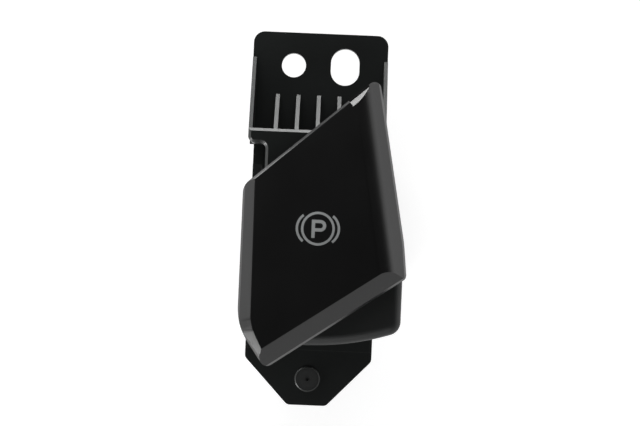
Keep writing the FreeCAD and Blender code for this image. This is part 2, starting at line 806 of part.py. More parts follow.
def shaft():
    """The pivot shaft: a head at one end, a clip groove at the other, flats where it drives."""
    rod = rod_x(PIVOT_Y, PIVOT_Z, SHAFT_R, -cheek_out, shaft_end())
    flat_z = PIVOT_Z + SHAFT_R - SHAFT_FLAT
    zones = [(-cheek_out, -cheek_in), (-HUB_HALF, HUB_HALF), (cheek_in, cheek_out)]
    for x0, x1 in zones:
        rod = rod.cut(
            box(x0, x1, PIVOT_Y - SHAFT_R, PIVOT_Y + SHAFT_R, flat_z, flat_z + SHAFT_R)
        )
    head = rod_x(PIVOT_Y, PIVOT_Z, SHAFT_HEAD_R, -cheek_out - SHAFT_HEAD, -cheek_out)
    rim = [e for e in head.Edges if e.BoundBox.XMax < -cheek_out - SHAFT_HEAD + TINY]
    head = head.makeChamfer(SHAFT_HEAD / 2, rim)
    groove = rod_x(PIVOT_Y, PIVOT_Z, SHAFT_R + PAST, cheek_out, cheek_out + CLIP_THICK)
    core = rod_x(PIVOT_Y, PIVOT_Z, SHAFT_R - CLIP_GROOVE, cheek_out - PAST, shaft_end())
    return fused([rod.cut(groove.cut(core)), head])


def shaft_clip():
    """The spring clip in the shaft's groove, open on one side."""
    ring = rod_x(PIVOT_Y, PIVOT_Z, CLIP_R, cheek_out, cheek_out + CLIP_THICK)
    core = rod_x(PIVOT_Y, PIVOT_Z, SHAFT_R - CLIP_GROOVE, cheek_out - PAST, shaft_end())
    mouth = box(
        cheek_out - PAST,
        shaft_end(),
        PIVOT_Y - CLIP_MOUTH_HALF,
        PIVOT_Y + CLIP_MOUTH_HALF,
        PIVOT_Z - CLIP_R - PAST,
        PIVOT_Z,
    )
    return ring.cut(core).cut(mouth)


def washer(side):
    """The thrust washer between turret and cheek."""
    x0 = side * (TURRET_HALF + WASHER_CLEARANCE)
    x1 = side * (cheek_in - WASHER_CLEARANCE)
    ring = rod_x(PIVOT_Y, PIVOT_Z, WASHER_R, x0, x1)
    return ring.cut(
        rod_x(PIVOT_Y, PIVOT_Z, SHAFT_R + BUSH_CLEARANCE, x0 - side, x1 + side)
    )


def spring_start_x():
    """X of the coil's first turn, beside the left bush."""
    return -HUB_HALF - SPRING_HUB_GAP - SPRING_PITCH * SPRING_TURNS


def wire_bar(points):
    """A bar of spring wire along straight runs joined by round bends."""
    edges = []
    start = points[0]
    for i in range(1, len(points) - 1):
        back = (points[i - 1] - points[i]).normalize()
        ahead = (points[i + 1] - points[i]).normalize()
        first, last = points[i] + back * SPRING_BEND, points[i] + ahead * SPRING_BEND
        inner = first + ahead * SPRING_BEND
        middle = inner + (points[i] - inner).normalize() * SPRING_BEND
        edges.append(Part.LineSegment(start, first).toShape())
        edges.append(Part.Arc(first, middle, last).toShape())
        start = last
    edges.append(Part.LineSegment(start, points[-1]).toShape())
    along = (points[1] - points[0]).normalize()
    section = wire_section(points[0], along)
    return Part.Wire(edges).makePipeShell([section], True, True)


def wire_section(centre, along):
    """The spring wire's square section at a point, across a direction."""
    side = along.cross(Vector(1, 0, 0) if abs(along.x) < 0.5 else Vector(0, 1, 0)).normalize()
    up = along.cross(side)
    half = SPRING_WIRE / 2
    signs = ((-1, -1), (1, -1), (1, 1), (-1, 1), (-1, -1))
    return Part.makePolygon([centre + side * (half * a) + up * (half * b) for a, b in signs])


def return_spring():
    """The torsion spring: one leg on the housing's ledge, the other behind the drive arm."""
    helix = Part.makeHelix(SPRING_PITCH, SPRING_PITCH * SPRING_TURNS, SPRING_R)
    section = wire_section(Vector(SPRING_R, 0, 0), Vector(0, 1, 0))
    coil = Part.Wire(helix).makePipeShell([section], True, True)
    turn = FreeCAD.Matrix(0, 0, 1, 0, 1, 0, 0, 0, 0, 1, 0, 0, 0, 0, 0, 1)
    coil = coil.transformGeometry(turn)
    coil.rotate(Vector(0, 0, 0), Vector(1, 0, 0), 90)
    coil.translate(Vector(spring_start_x(), PIVOT_Y, PIVOT_Z))
    start = Vector(spring_start_x(), PIVOT_Y, PIVOT_Z + SPRING_R)
    end = Vector(-HUB_HALF - SPRING_HUB_GAP, PIVOT_Y - SPRING_R, PIVOT_Z)
    low = end - Vector(0, 0, SPRING_DROP)
    across = Vector(HUB_HALF + SPRING_HUB_GAP + ARM_HALF / 2, 0, 0)
    fixed_leg = wire_bar([start, start + Vector(0, SPRING_LEG, 0)])
    return coil.fuse([fixed_leg, wire_bar([end, low, low + across])])


def drive_arm():
    """The arm keyed to the shaft inside the turret, with a round tip in the slider's fork."""
    hub = rod_x(PIVOT_Y, PIVOT_Z, HUB_R, -HUB_HALF, HUB_HALF)
    neck_z = arm_tip_z + ARM_NECK
    points = [
        (PIVOT_Y - ARM_ROOT_HALF, PIVOT_Z),
        (PIVOT_Y - ARM_NECK_HALF, neck_z),
        (PIVOT_Y - ARM_NECK_HALF, arm_tip_z),
        (PIVOT_Y + ARM_NECK_HALF, arm_tip_z),
        (PIVOT_Y + ARM_NECK_HALF, neck_z),
        (PIVOT_Y + ARM_ROOT_HALF, PIVOT_Z),
    ]
    arm = profile_x(points, -ARM_HALF, ARM_HALF)
    tip = rod_x(PIVOT_Y, arm_tip_z, ARM_TIP_R, -ARM_HALF, ARM_HALF)
    seat_z = PIVOT_Z - SPRING_DROP
    seat = box(
        -ARM_HALF,
        ARM_HALF,
        PIVOT_Y - SPRING_R + SPRING_WIRE / 2,
        PIVOT_Y,
        seat_z - ARM_SEAT_HALF,
        seat_z + ARM_SEAT_HALF,
    )
    return fused([hub, arm, tip, seat]).cut(shaft())


# Contact slider


def contact_slider():
    """The sliding carriage with a fork for the drive arm's tip."""
    half = slider_half_length
    base = box(
        -SLIDER_HALF, SLIDER_HALF, PIVOT_Y - half, PIVOT_Y + half, slider_bottom, slider_top
    )
    slot = ARM_TIP_R + FORK_CLEARANCE
    outer = slot + FORK_WALL
    top = board_top + SLIDER_LIFT + SLIDER_THICK + FORK_RISE
    pieces = [base]
    for side in (-1, 1):
        pieces.append(
            box(
                -FORK_HALF,
                FORK_HALF,
                PIVOT_Y + side * slot,
                PIVOT_Y + side * outer,
                slider_bottom,
                top,
            )
        )
    return fused(pieces)


def wiper_contacts():
    """Folded spring strips under the slider that bridge the board's tracks."""
    made = []
    low = board_top + WIPER_GAP
    half = slider_half_length
    span = 2 * (SLIDER_HALF - WIPER_TO_EDGE) - WIPER_WIDTH
    for i in range(WIPER_COUNT):
        x = (i / (WIPER_COUNT - 1) - 0.5) * span - WIPER_WIDTH / 2
        top = slider_bottom
        points = [
            (PIVOT_Y - half + WIPER_END, top),
            (PIVOT_Y + half - WIPER_END, top),
            (PIVOT_Y + half - WIPER_END, top - WIPER_THICK),
            (PIVOT_Y + WIPER_BEND, top - WIPER_THICK),
            (PIVOT_Y + WIPER_TOUCH, low),
            (PIVOT_Y - WIPER_TOUCH, low),
            (PIVOT_Y - WIPER_BEND, top - WIPER_THICK),
            (PIVOT_Y - half + WIPER_END, top - WIPER_THICK),
        ]
        made.append(profile_x(points, x, x + WIPER_WIDTH))
    return Part.makeCompound(made)


def contact_frame():
    """The frame on the board that keeps the slider on its track."""
    inner = SLIDER_HALF + RUNNING_GAP
    outer = inner + FRAME_WALL
    low, high = frame_low, frame_high
    lip_under = slider_top + RUNNING_GAP
    top = lip_under + FRAME_LIP_THICK
    block = box(-outer, outer, low - FRAME_WALL, high + FRAME_WALL, board_top, top)
    track = box(-inner, inner, low, high, board_top - PAST, lip_under)
    mouth = box(-inner + FRAME_LIP, inner - FRAME_LIP, low, high, board_top, top + PAST)
    return block.cut(fused([track, mouth]))


# Paddle


def face_point(corner):
    """A corner of the face, on the sloping face plane."""
    return Vector(corner[0], corner[1], face_z(corner[0], corner[1]))


def face_edge(index):
    """Start and end of one edge of the face, its direction and the way out across it."""
    start = face_point(CAP_FACE[index])
    end = face_point(CAP_FACE[(index + 1) % len(CAP_FACE)])
    along = (end - start).normalize()
    outward = along.cross(face_normal)
    if outward.dot(face_point(cap_middle) - start) > 0:
        outward = outward * -1
    return start, end, along, outward


def bevel_normal(index):
    """The direction that the bevel along one edge of the face looks in."""
    turn = math.radians(CAP_BEVELS[index][0])
    outward = face_edge(index)[3]
    return face_normal * math.cos(turn) + outward * math.sin(turn)


def above_bevel(index, sunk):
    """What lies above one bevel and its roll, both sunk by a wall."""
    start, end, along, outward = face_edge(index)
    angle, roll = CAP_BEVELS[index]
    roll = max(roll - sunk, 0)
    turn = math.radians(angle)
    down = outward * math.cos(turn) - face_normal * math.sin(turn)
    over = CAP_REACH
    start = start - along * over - (face_normal + outward * math.tan(turn / 2)) * sunk
    reach = roll * math.tan(turn / 2)
    inner, outer = start - outward * reach, start + down * reach
    far = start + down * over
    top, high = far + face_normal * over * 2, inner + face_normal * over
    sides = ((outer, far), (far, top), (top, high), (high, inner))
    edges = [Part.LineSegment(*ends).toShape() for ends in sides]
    if roll:
        centre = inner - face_normal * roll
        middle = centre + (face_normal + bevel_normal(index)).normalize() * roll
        edges.append(Part.Arc(inner, middle, outer).toShape())
    length = (end - face_edge(index)[0]).Length + 2 * over
    return Part.Face(Part.Wire(edges)).extrude(along * length)


def past_wall_edge(index):
    """What lies past the narrow chamfer where one outer wall of the cap meets its bevel."""
    x, y, _ = CAP_OUTLINE[index]
    after = CAP_OUTLINE[(index + 1) % len(CAP_OUTLINE)]
    wall_normal = Vector(y - after[1], after[0] - x, 0).normalize()
    bevel = max(range(len(CAP_BEVELS)), key=lambda i: face_edge(i)[3].dot(wall_normal))
    tilted = bevel_normal(bevel)
    off = face_edge(bevel)[0] - Vector(x, y, 0)
    corner = Vector(x, y, off.dot(tilted) / tilted.z)
    middle = (wall_normal + tilted).normalize()
    return beyond(corner - middle * CAP_EDGE, middle)


def cap_form(sunk):
    """The bevelled paddle form, or with sunk the space inside a wall of that thickness."""
    high = carrier_top + FACE_HEIGHT * 2
    form = slab(inset(CAP_OUTLINE, sunk), carrier_top - sunk, high)
    top = face_point(cap_middle) - face_normal * sunk
    form = form.cut(beyond(top, face_normal))
    for index in range(len(CAP_BEVELS)):
        form = form.cut(above_bevel(index, sunk))
    return form


def tip_facet():
    """The small extra bevel at the tip end of the paddle's upper edge."""
    start = face_point(CAP_FACE[0])
    along = (face_point(CAP_FACE[-1]) - start).normalize()
    inward = Vector(-along.y, along.x, 0).normalize() * TIP_FACET_WIDTH
    up = Vector(0, 0, TIP_FACET_WIDTH)
    start = start - along * TIP_FACET_LENGTH
    high, out = Vector(0, 0, CAP_REACH), inward * -CAP_REACH
    ring = [start + inward, start - up, start - up + out, start + high + out, start + high + inward]
    face = Part.Face(Part.makePolygon(ring + ring[:1]))
    return face.extrude(along * TIP_FACET_LENGTH * 2)


def lever_cap():
    """The painted paddle: a bevelled shell with screw bosses inside."""
    body = cap_form(0)
    for index in range(len(CAP_OUTLINE)):
        body = body.cut(past_wall_edge(index))
    shell = body.cut(tip_facet()).cut(cap_form(CAP_WALL))
    bosses = []
    for x, y in CAP_SCREW_PLACES:
        top = face_z(x, y) - CAP_WALL / 2
        bosses.append(prong(x, y, CAP_BOSS_R, carrier_top, top, BOSS_SIDES))
    whole = fused([shell] + bosses)
    for x, y in CAP_SCREW_PLACES:
        hole = prong(x, y, CAP_SCREW_R, carrier_top - PAST, cap_screw_top(x, y), SCREW_SIDES)
        whole = whole.cut(hole)
    return whole


def cap_screw_top(x, y):
    """Height of a cap screw's point."""
    return face_z(x, y) - CAP_WALL - CAP_SCREW_POINT


def cap_screws():
    """Pan-head screws that hold the cap to the carrier from below."""
    made = []
    for x, y in CAP_SCREW_PLACES:
        low = carrier_under
        head = prong(x, y, CAP_SCREW_HEAD_R, low, low + CAP_SCREW_HEAD, BOSS_SIDES)
        shank = prong(x, y, CAP_SCREW_R, low + CAP_SCREW_HEAD / 2, cap_screw_top(x, y), SCREW_SIDES)
        socket = prong(x, y, CAP_SCREW_R, low - PAST, low + CAP_SCREW_HEAD / 2, HEX_SIDES)
        made.append(fused([head, shank]).cut(socket))
    return Part.makeCompound(made)


def grip_outline(shrink):
    """The grip's closed outline, moved inwards by shrink."""
    radius = GRIP_ARC_R - shrink
    centre = Vector(GRIP_ARC_X, GRIP_ARC_LOW + GRIP_ARC_R, 0)
    left, right = -cheek_out + shrink, GRIP_RIGHT - shrink
    bend_x = -TURRET_HALF + GRIP_BEND + shrink * GRIP_BEND_SHIFT

    def on_arc(x):
        return Vector(x, centre.y - math.sqrt(radius**2 - (x - centre.x) ** 2), 0)

    low_left, low_right = on_arc(bend_x), on_arc(right)
    corner_y = low_left.y + GRIP_BEND_RISE
    middle = on_arc((low_left.x + low_right.x) / 2)
    top = GRIP_TOP_Y + (PAST if shrink else 0)
    edges = [
        Part.LineSegment(Vector(right, top, 0), low_right).toShape(),
        Part.Arc(low_right, middle, low_left).toShape(),
        Part.LineSegment(low_left, Vector(left, corner_y, 0)).toShape(),
        Part.LineSegment(Vector(left, corner_y, 0), Vector(left, top, 0)).toShape(),
        Part.LineSegment(Vector(left, top, 0), Vector(right, top, 0)).toShape(),
    ]
    return Part.Face(Part.Wire(edges))


def raised(face, z0, z1):
    """A flat face extruded between two heights."""
    moved = face.copy()
    moved.translate(Vector(0, 0, z0))
    return moved.extrude(Vector(0, 0, z1 - z0))


def grip():
    """The finger grip at the paddle's lower end: a rounded hollow block, open below."""
    low = carrier_top - GRIP_HEIGHT
    block = raised(grip_outline(0), low, carrier_top)
    below = [e for e in block.Edges if e.CenterOfMass.y < GRIP_TOP_Y - PAST]
    corner = [e for e in below if e.BoundBox.ZLength > GRIP_HEIGHT - TINY and e.CenterOfMass.x > 0]
    block = block.makeFillet(GRIP_CORNER, corner)
    upper = []
    for e in block.Edges:
        centre = e.CenterOfMass
        on_top = e.BoundBox.ZMin > carrier_top - TINY
        if on_top and centre.y < GRIP_TOP_Y - PAST and centre.x > -cheek_out + PAST:
            upper.append(e)
    block = block.makeFillet(GRIP_ROUND, upper)
    hollow = raised(grip_outline(GRIP_WALL), low - PAST, carrier_top - GRIP_WALL)
    return block.cut(hollow)


def cheek():
    """The right-hand ear that drops to the pivot shaft."""
    half = CHEEK_ROOT / 2
    points = [
        (PIVOT_Y + half, carrier_under + EMBED),
        (PIVOT_Y - half, carrier_under + EMBED),
        (PIVOT_Y - CHEEK_R, PIVOT_Z),
        (PIVOT_Y + CHEEK_R, PIVOT_Z),
    ]
    ear = profile_x(points, cheek_in, cheek_out)
    return fused([ear, rod_x(PIVOT_Y, PIVOT_Z, CHEEK_R, cheek_in, cheek_out)])


def side_rail():
    """The wall that joins the right-hand ear to the grip and hides the gap over the deck."""
    low = carrier_top - GRIP_HEIGHT
    return box(cheek_in, cheek_out, GRIP_TOP_Y - PAST, PIVOT_Y, low, carrier_under + EMBED)


def lever_body():
    """The paddle's carrier: a plate under the cap, two ears and the finger grip."""
    deck = slab(inset(CAP_OUTLINE, CARRIER_INSET), carrier_under, carrier_top)
    whole = fused([deck, grip()] + both_sides(cheek) + both_sides(side_rail))
    whole = whole.cut(shaft())
    for x, y in CAP_SCREW_PLACES:
        low, high = carrier_under - GRIP_HEIGHT, carrier_under + CAP_SCREW_HEAD
        whole = whole.cut(rod_z(x, y, CAP_SCREW_HEAD_R, low, high))
        whole = whole.cut(prong(x, y, CAP_SCREW_R, low, carrier_top + PAST, SCREW_SIDES))
    seat = (GUIDE_SEAT_HALF, GUIDE_SEAT_HALF)
    low, high = carrier_under - PAST, carrier_top + PAST
    return whole.cut(tapered(SYMBOL_X, symbol_y, seat, seat, low, high))


def symbol_light_guide():
    """The clear block that spreads light behind the cap's symbol."""
    seat = (GUIDE_SEAT_HALF, GUIDE_SEAT_HALF)
    top = (GUIDE_TOP_HALF, GUIDE_TOP_HALF)
    low, high = carrier_under + GUIDE_CLEARANCE, carrier_top + FACE_HEIGHT
    block = fused([
        tapered(SYMBOL_X, symbol_y, seat, seat, low, carrier_top),
        tapered(SYMBOL_X, symbol_y, seat, top, carrier_top, high),
    ])
    ceiling = face_point(cap_middle) - face_normal * (CAP_WALL + GUIDE_CLEARANCE)
    return block.cut(beyond(ceiling, face_normal))


# Bumpers


def pull_bumper_height():
    """Height at which the carrier's underside meets the upper bumpers at full pull."""
    angle = math.radians(PULL_ANGLE)
    across = pull_bumper_y + BUMPER_HALF - PIVOT_Y
    up = carrier_under - PIVOT_Z
    return PIVOT_Z + up / math.cos(angle) - across * math.tan(angle) - DECK_TOP


def bumper(x, y, height):
    """A rubber strip with a barbed stem through the deck."""
    top = DECK_TOP + height
    edge = min(BUMPER_EDGE, height / 3)
    half = [
        (BUMPER_BARB_HALF / 2, deck_under - BUMPER_BARB),
        (BUMPER_BARB_HALF, deck_under),
        (BUMPER_STEM_HALF, deck_under),
        (BUMPER_STEM_HALF, DECK_TOP),
        (BUMPER_HALF, DECK_TOP),
        (BUMPER_HALF, top - edge),
        (BUMPER_HALF - edge, top),
    ]
    ring = [(y + out, z) for out, z in half] + [(y - out, z) for out, z in reversed(half)]
    return profile_x(ring, x - BUMPER_LENGTH / 2, x + BUMPER_LENGTH / 2)


def bumpers(places, height):
    """The pair of bumpers at one end of the deck."""
    return Part.makeCompound([bumper(x, y, height) for x, y in places])


def main():
    """Writes each piece to its own file."""
    rest_height = CARRIER_GAP - BUMPER_CLEARANCE
    pull_height = pull_bumper_height() - BUMPER_CLEARANCE
    nodes = {
        "housing": housing(),
        "rear_cover": rear_cover(),
        "cover_gasket": cover_gasket(),
        "cover_screws": Part.makeCompound([cover_screw(x, y) for x, y in screw_places]),
        "circuit_board": circuit_board(),
        "connector_pins": pins(),
        "backlight_led": led(-1),
        "telltale_led": led(1),
        "controller_chip": controller_chip(),
        "board_resistors": board_resistors(),
        "light_guide": light_guide(),
        "contact_frame": contact_frame(),
        "bush_left": bush(-1),
        "bush_right": bush(1),
        "washer_left": washer(-1),
        "washer_right": washer(1),
        "rest_bumpers": bumpers(rest_places, rest_height),
        "pull_bumpers": bumpers(pull_places, pull_height),
        "return_spring": return_spring(),
        "lever_body": lever_body(),
        "lever_cap": lever_cap(),
        "cap_screws": cap_screws(),
        "symbol_light_guide": symbol_light_guide(),
        "pivot_shaft": shaft(),
        "shaft_clip": shaft_clip(),
        "drive_arm": drive_arm(),
        "contact_slider": contact_slider(),
        "wiper_contacts": wiper_contacts(),
    }
    os.makedirs("parts", exist_ok=True)
    for name, shape in nodes.items():
        shape.exportStep(f"parts/{name}.step")
        print(name, "solids", len(shape.Solids), "valid", shape.isValid(), "volume", round(shape.Volume, 1))


main()
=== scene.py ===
import math

import bmesh
import bpy
from mathutils import Matrix, Vector


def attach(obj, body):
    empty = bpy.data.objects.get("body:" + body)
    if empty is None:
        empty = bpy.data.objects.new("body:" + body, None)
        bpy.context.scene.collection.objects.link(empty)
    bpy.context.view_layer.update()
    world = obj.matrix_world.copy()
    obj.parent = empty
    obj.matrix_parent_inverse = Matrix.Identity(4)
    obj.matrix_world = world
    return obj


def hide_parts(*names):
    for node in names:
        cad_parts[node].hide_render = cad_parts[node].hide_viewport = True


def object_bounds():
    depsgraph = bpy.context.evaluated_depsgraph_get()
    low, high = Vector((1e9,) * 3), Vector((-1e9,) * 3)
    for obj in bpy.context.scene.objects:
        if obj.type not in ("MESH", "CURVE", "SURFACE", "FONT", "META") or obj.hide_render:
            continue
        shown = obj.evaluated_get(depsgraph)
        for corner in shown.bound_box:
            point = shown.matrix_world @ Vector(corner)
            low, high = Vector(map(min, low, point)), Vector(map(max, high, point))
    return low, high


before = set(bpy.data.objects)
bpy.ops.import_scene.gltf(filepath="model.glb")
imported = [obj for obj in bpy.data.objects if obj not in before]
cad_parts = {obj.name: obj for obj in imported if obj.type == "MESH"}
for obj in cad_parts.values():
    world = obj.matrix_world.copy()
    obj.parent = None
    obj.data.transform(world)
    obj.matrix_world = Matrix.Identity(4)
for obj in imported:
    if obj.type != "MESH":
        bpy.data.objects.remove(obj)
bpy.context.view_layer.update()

MM = 0.001
WELD = 0.001 * MM

# Camera of the photograph, straight above the bracket plate
CAMERA_FOOT = (1.57 * MM, -39.4 * MM)
CAMERA_HEIGHT = 500 * MM
CAMERA_ROLL = math.radians(2.4)
METRES_PER_PIXEL = 0.27 * MM
IMAGE_WIDTH = 640
SENSOR_WIDTH = 36.0
CLIP_START = 0.01
CLIP_END = 10

# The sign on the paddle's face
SIGN_X = 1.2 * MM
SIGN_Y = -43.4 * MM
SIGN_LINE = 0.62 * MM
SIGN_RING_R = 4.0 * MM
SIGN_ARC_R = 4.2 * MM
SIGN_ARC_SHIFT = 1.15 * MM
SIGN_ARC_HALF_ANGLE = math.radians(52)
SIGN_THICK = 0.03 * MM
SIGN_STEPS = 72
LETTER_STROKE = 0.85 * MM
LETTER_LEFT = -1.6 * MM
LETTER_RIGHT = 2.1 * MM
LETTER_TOP = 2.25 * MM
LETTER_BOTTOM = -2.4 * MM
LETTER_WAIST = -0.75 * MM

# The soft bend between the paddle's left bevel and its lower corner facet, rolled by flat cuts, and
# the angle from which an edge of the paddle's mesh is shaded sharp
BEND_R = 14.0 * MM
BEND_CUTS = 7
SHARP_ANGLE = math.radians(14)

# Colours, as linear red, green and blue
BRACKET_BLACK = (0.0042, 0.0056, 0.0052)
PAINT_BLACK = (0.0030, 0.0030, 0.0031)
CARRIER_BLACK = (0.0046, 0.0054, 0.0052)
COVER_BLACK = (0.0060, 0.0064, 0.0066)
# Edge colours, lighter partly from wear and partly as a painted highlight along the edges
WORN_HIGHLIGHT_GREY = (0.040, 0.042, 0.040)
PAINT_WORN_HIGHLIGHT = (0.060, 0.061, 0.060)
SIGN_GREY = (0.27, 0.28, 0.28)
FLOOR_WHITE = (0.55, 0.55, 0.55)

# The dull boss on the bracket's tab, its top painted lighter as a highlight: the middle of its top,
# its radius, and the share of the radius at which its finish and painted highlight have faded out
BOSS_CENTRE = (0.0, -84.1 * MM, 2.8 * MM)
BOSS_RADIUS = 3.4 * MM
BOSS_FADE = 1.1
# The boss top's colour, lighter than the plastic as a painted highlight, and its roughness
BOSS_HIGHLIGHT_BLACK = (0.0090, 0.0098, 0.0096)
BOSS_ROUGHNESS = 0.95

# Unevenness of plastics: noise sizes in metres, limits as shares of the colour, steps of roughness
TINT_SIZE = 12 * MM
TINT_LOW = 0.82
TINT_HIGH = 1.2
GLOSS_SIZE = 14 * MM
GLOSS_BELOW = 0.015
GLOSS_ABOVE = 0.02

# Edges lighter partly from wear and partly as a painted highlight: the width, the noise that breaks it
# up, the cosines between which it fades out, how strong the least worn stretch is, and the roughness
# of worn spots as a share
WEAR_HIGHLIGHT_WIDTH = 0.35 * MM
WEAR_HIGHLIGHT_SAMPLES = 6
WEAR_HIGHLIGHT_PATCH = 2.6 * MM
WEAR_HIGHLIGHT_FULL = 0.86
WEAR_HIGHLIGHT_NONE = 0.99
WEAR_HIGHLIGHT_LEAST = 0.25
WEAR_GLOSS = 0.7

# Unevenness of metals: noise sizes, colour shares, steps of roughness and depth of the fine marks
METAL_TINT_SIZE = 3 * MM
METAL_TINT_LOW = 0.85
METAL_TINT_HIGH = 1.1
METAL_GLOSS_SIZE = 0.8 * MM
METAL_GLOSS_BELOW = 0.06
METAL_GLOSS_ABOVE = 0.08
METAL_MARK_SIZE = 0.25 * MM
METAL_MARK_DEPTH = 0.002 * MM

# Clear plastic
CLEAR_IOR = 1.49
CLEAR_TINT_SIZE = 4 * MM
CLEAR_TINTS = ((0.9, 0.93, 0.94), (0.96, 0.98, 0.98))
CLEAR_GLOSS_SIZE = 1.5 * MM
CLEAR_GLOSSES = (0.04, 0.12)

# Plastics, rubber and the like: colour, size and depth of the grain, roughness, specular level, and
# the lighter colour of edges, partly wear and partly a painted highlight, where they show
PLASTICS = {
    "bracket_black": (BRACKET_BLACK, 0.35 * MM, 0.02 * MM, 0.38, 0.5, WORN_HIGHLIGHT_GREY),
    "paint_black": (PAINT_BLACK, 0.12 * MM, 0.004 * MM, 0.3, 0.5, PAINT_WORN_HIGHLIGHT),
    "carrier_black": (CARRIER_BLACK, 0.3 * MM, 0.018 * MM, 0.5, 0.35, WORN_HIGHLIGHT_GREY),
    "cover_black": (COVER_BLACK, 0.4 * MM, 0.02 * MM, 0.5, 0.5, WORN_HIGHLIGHT_GREY),
    "seal_rubber": ((0.02, 0.02, 0.021), 0.5 * MM, 0.02 * MM, 0.75, 0.3, None),
    "bumper_rubber": ((0.04, 0.04, 0.041), 0.5 * MM, 0.02 * MM, 0.7, 0.3, None),
    "board_green": ((0.02, 0.14, 0.05), 0.6 * MM, 0.01 * MM, 0.35, 0.5, None),
    "natural_acetal": ((0.72, 0.7, 0.64), 0.4 * MM, 0.006 * MM, 0.35, 0.5, None),
    "frame_grey": ((0.08, 0.08, 0.085), 0.3 * MM, 0.015 * MM, 0.5, 0.5, None),
    "chip_resin": ((0.02, 0.02, 0.02), 0.2 * MM, 0.006 * MM, 0.55, 0.5, None),
    "resistor_black": ((0.05, 0.05, 0.055), 0.3 * MM, 0.004 * MM, 0.3, 0.5, None),
    "led_white": ((0.75, 0.73, 0.62), 0.3 * MM, 0.004 * MM, 0.3, 0.5, None),
    "sign_grey": (SIGN_GREY, 0.3 * MM, 0.002 * MM, 0.5, 0.5, None),
}
# The plastic whose surface has the boss
BOSS_PLASTIC = "bracket_black"

# Metals: colour and roughness
METALS = {
    "plated_steel": ((0.44, 0.45, 0.46), 0.34),
    "spring_steel": ((0.4, 0.4, 0.42), 0.3),
    "pin_brass": ((0.78, 0.62, 0.3), 0.25),
}

# The material of each piece that comes from the source
DRESSED = {
    "housing": "bracket_black", "rear_cover": "cover_black", "cover_gasket": "seal_rubber",
    "cover_screws": "plated_steel", "circuit_board": "board_green", "connector_pins": "pin_brass",
    "backlight_led": "led_white", "telltale_led": "led_white", "controller_chip": "chip_resin",
    "board_resistors": "resistor_black", "light_guide": "clear_plastic", "contact_frame": "frame_grey",
    "bush_left": "natural_acetal", "bush_right": "natural_acetal", "washer_left": "natural_acetal",
    "washer_right": "natural_acetal", "rest_bumpers": "bumper_rubber", "pull_bumpers": "bumper_rubber",
    "return_spring": "spring_steel", "lever_body": "carrier_black", "lever_cap": "paint_black",
    "cap_screws": "plated_steel", "symbol_light_guide": "clear_plastic", "pivot_shaft": "plated_steel",
    "shaft_clip": "spring_steel", "drive_arm": "natural_acetal", "contact_slider": "natural_acetal",
    "wiper_contacts": "pin_brass",
}

# Soft panels: name, azimuth and elevation in degrees, distance, width and height in metres, radiance
STUDIO_MIDDLE = (0.0, -0.04, 0.01)
PANELS = [
    ("key_panel", 95, 40, 1.0, 0.8, 0.5, 2.4),
    ("fill_panel", 265, 40, 1.0, 0.8, 0.5, 2.6),
    ("top_panel", 88, 5, 0.8, 0.9, 0.2, 16.5),
    ("upper_left_panel", 132, 5, 0.8, 0.4, 0.2, 18.0),
    ("lower_left_panel", 219, 8, 0.8, 0.26, 0.22, 23.0),
    ("right_panel", 12, 10, 0.8, 0.5, 0.3, 0.8),
    ("left_panel", 176, 10, 0.8, 0.4, 0.3, 0.8),
]

# Studio: floor and wall sizes in metres, the glow that makes them read as white, near the object and
# far from it, and the distances in metres between which it rises
FLOOR_RADIUS = 3.0
FLOOR_GRAIN = 40 * MM
FLOOR_ROUGHNESS = 0.9
WALL_HEIGHT = 1.6
WALL_STEPS = 96
GLOW_NEAR = 0.71
GLOW_FAR = 1.0
GLOW_START = 0.25
GLOW_END = 1.0
WORLD_LEVEL = 0.06


def new_material(name):
    """A node material with its principled shader, and the coordinates that its textures use."""
    material = bpy.data.materials.new(name)
    material.use_nodes = True
    tree = material.node_tree
    shader = tree.nodes["Principled BSDF"]
    place = tree.nodes.new("ShaderNodeTexCoord").outputs["Object"]
    return material, tree, shader, place


def noise(tree, place, size, detail=3.0, roughness=0.5):
    """Noise whose grains are about size metres across."""
    node = tree.nodes.new("ShaderNodeTexNoise")
    node.inputs["Scale"].default_value = 1 / size
    node.inputs["Detail"].default_value = detail
    node.inputs["Roughness"].default_value = roughness
    tree.links.new(place, node.inputs["Vector"])
    return node.outputs["Fac"]


def ramp(tree, value, low, high, start=0.3, end=0.7):
    """A ramp from one number or colour to another."""
    node = tree.nodes.new("ShaderNodeValToRGB")
    first, last = node.color_ramp.elements
    first.position, last.position = start, end
    first.color = (*low, 1) if isinstance(low, tuple) else (low, low, low, 1)
    last.color = (*high, 1) if isinstance(high, tuple) else (high, high, high, 1)
    tree.links.new(value, node.inputs["Fac"])
    return node.outputs["Color"]


def bump(tree, shader, height, depth):
    """Fine relief of a given depth in metres."""
    node = tree.nodes.new("ShaderNodeBump")
    node.inputs["Strength"].default_value = 1.0
    node.inputs["Distance"].default_value = depth
    tree.links.new(height, node.inputs["Height"])
    tree.links.new(node.outputs["Normal"], shader.inputs["Normal"])


def scaled(colour, factor):
    """A colour made lighter or darker."""
    return tuple(channel * factor for channel in colour)


def mixed(tree, factor, first, second):
    """A blend of two colours, each a socket or a plain value."""
    node = tree.nodes.new("ShaderNodeMix")
    node.data_type = "RGBA"
    tree.links.new(factor, node.inputs[0])
    for socket, value in ((node.inputs[6], first), (node.inputs[7], second)):
        if isinstance(value, tuple):
            socket.default_value = (*value, 1)
        elif isinstance(value, float):
            socket.default_value = (value, value, value, 1)
        else:
            tree.links.new(value, socket)
    return node.outputs[2]


